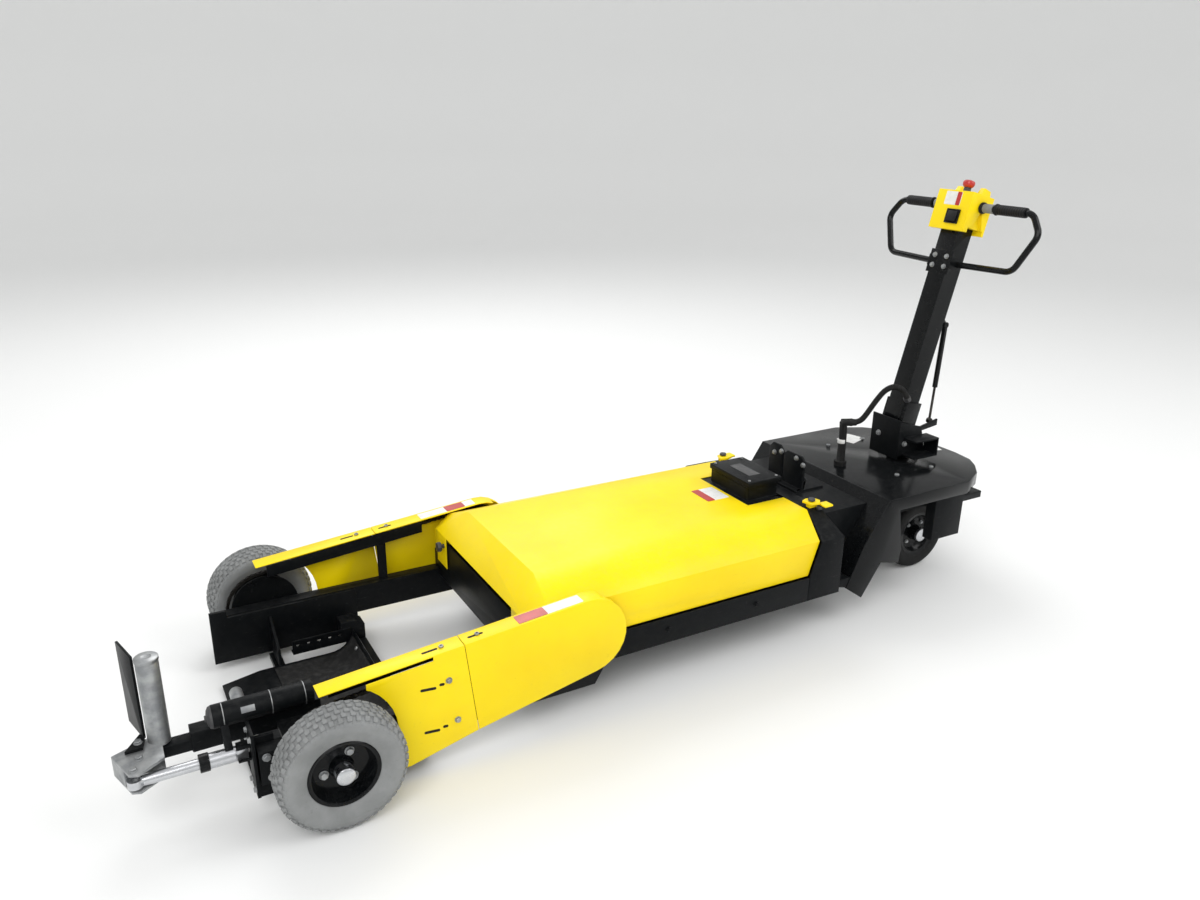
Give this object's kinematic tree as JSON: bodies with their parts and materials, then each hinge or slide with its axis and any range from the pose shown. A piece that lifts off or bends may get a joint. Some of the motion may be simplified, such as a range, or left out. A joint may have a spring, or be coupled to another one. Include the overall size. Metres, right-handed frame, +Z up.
{
  "type": "walk-behind electric aircraft tug",
  "caption": "Walk-behind electric aircraft tug: nose-wheel cradle between two fork arms, chain-driven front wheels, battery body, steered rear wheels, tilting tiller.",
  "frame": {"origin": "on the floor, under the middle of the whole machine's length, on its centreline", "axes": "+X towards the tiller and its operator, +Y across the machine to the side without the gate, +Z up"},
  "size_m": [2.952, 1.052, 1.4012],
  "materials": {
    "yellow": "safety yellow powder coat, satin",
    "black": "black powder coat, satin",
    "gloss_black": "black paint, gloss",
    "tyre_grey": "light grey non-marking rubber, block tread",
    "rubber": "black rubber, matte",
    "steel": "bright zinc or ground steel",
    "galvanised": "galvanised, dull",
    "grip": "soft black moulding",
    "red": "red plastic, gloss",
    "chain_steel": "oiled roller chain",
    "battery_grey": "dark grey casing"
  },
  "bodies": {
    "chassis": {"actuator_mount": "black", "battery_hood": "yellow", "battery_pack": "battery_grey", "cable_gland": "rubber", "chain_guard_front_left": "yellow", "chain_guard_front_right": "yellow", "chain_guard_rear_left": "yellow", "chain_guard_rear_right": "yellow", "charger_box": "black", "chassis_pan": "black", "chock_rack_left": "black", "chock_rack_right": "black", "control_cable_lower": "rubber", "cradle_pad": "rubber", "cradle_roller": "galvanised", "cradle_tray": "black", "drive_chain_left": "chain_steel", "drive_chain_right": "chain_steel", "drive_transaxle": "battery_grey", "frame_rail_left": "black", "frame_rail_right": "black", "gate_beam": "black", "hood_latch_left": "yellow", "hood_latch_right": "yellow", "neck_frame": "black", "rear_bulkhead": "black", "rear_frame": "black", "rear_hood": "gloss_black"},
    "front_wheel_left": {"front_tyre_left": "tyre_grey", "front_rim_left": "gloss_black"},
    "front_wheel_right": {"front_tyre_right": "tyre_grey", "front_rim_right": "gloss_black"},
    "steering": {"steering_yoke": "black", "tiller_bracket": "black", "control_cable_upper": "rubber"},
    "rear_wheels": {"rear_tyre_left": "rubber", "rear_tyre_right": "rubber", "rear_wheel_hubs": "gloss_black"},
    "tiller": {"tiller_tube": "black", "handle_loop": "black", "handle_grip_left": "grip", "handle_grip_right": "grip", "control_head": "yellow", "speed_rocker": "grip", "emergency_stop": "red"},
    "spring_cylinder": {"gas_spring_cylinder": "black"},
    "spring_rod": {"gas_spring_rod": "steel"},
    "gate": {"gate_head": "galvanised", "gate_guard_plate": "black"},
    "actuator": {"actuator_tube": "steel", "actuator_motor": "black"},
    "actuator_rod": {"actuator_rod": "steel"}
  },
  "joints": [
    {"name": "front_wheel_left_spin", "type": "hinge", "parent": "chassis", "child": "front_wheel_left", "pos_m": [-1.009, 0.476, 0.156], "axis": [0, 1, 0], "continuous": true},
    {"name": "front_wheel_right_spin", "type": "hinge", "parent": "chassis", "child": "front_wheel_right", "pos_m": [-1.009, -0.476, 0.156], "axis": [0, 1, 0], "continuous": true},
    {"name": "steer", "type": "hinge", "parent": "chassis", "child": "steering", "pos_m": [1.241, 0, 0.42], "axis": [0, 0, 1], "range_deg": [-75, 75], "deforming": ["control_cable_lower"]},
    {"name": "rear_wheels_spin", "type": "hinge", "parent": "steering", "child": "rear_wheels", "pos_m": [1.241, 0, 0.135], "axis": [0, 1, 0], "continuous": true},
    {"name": "tiller_tilt", "type": "hinge", "parent": "steering", "child": "tiller", "pos_m": [1.208, 0, 0.5], "axis": [0, 1, 0], "range_deg": [0, 40], "stiffness_Nm_per_rad": 120, "springref_deg": -34.38, "deforming": ["control_cable_upper"]},
    {"name": "spring_swing", "type": "hinge", "parent": "tiller", "child": "spring_cylinder", "pos_m": [1.363, -0.034, 0.8937], "axis": [0, 1, 0], "range_deg": [0, 10.5]},
    {"name": "spring_stroke", "type": "slide", "parent": "spring_cylinder", "child": "spring_rod", "axis": [0.0443, 0, 0.999], "range_m": [0, 0.079]},
    {"name": "gate_swing", "type": "hinge", "parent": "chassis", "child": "gate", "pos_m": [-1.388, -0.238, 0.168], "axis": [0, 0, 1], "range_deg": [0, 40]},
    {"name": "actuator_swing", "type": "hinge", "parent": "chassis", "child": "actuator", "pos_m": [-1.204, -0.33, 0.168], "axis": [0, 0, 1], "range_deg": [0, 4.7]},
    {"name": "actuator_stroke", "type": "slide", "parent": "actuator", "child": "actuator_rod", "axis": [1, 0, 0], "range_m": [0, 0.0705]}
  ],
  "couplings": [
    {"joint": "spring_swing", "follows": "tiller_tilt", "ratio": 0.25},
    {"joint": "spring_stroke", "follows": "tiller_tilt", "m_per_rad": 0.1105},
    {"joint": "actuator_swing", "follows": "gate_swing", "ratio": 0.11},
    {"joint": "actuator_stroke", "follows": "gate_swing", "m_per_rad": 0.1}
  ]
}
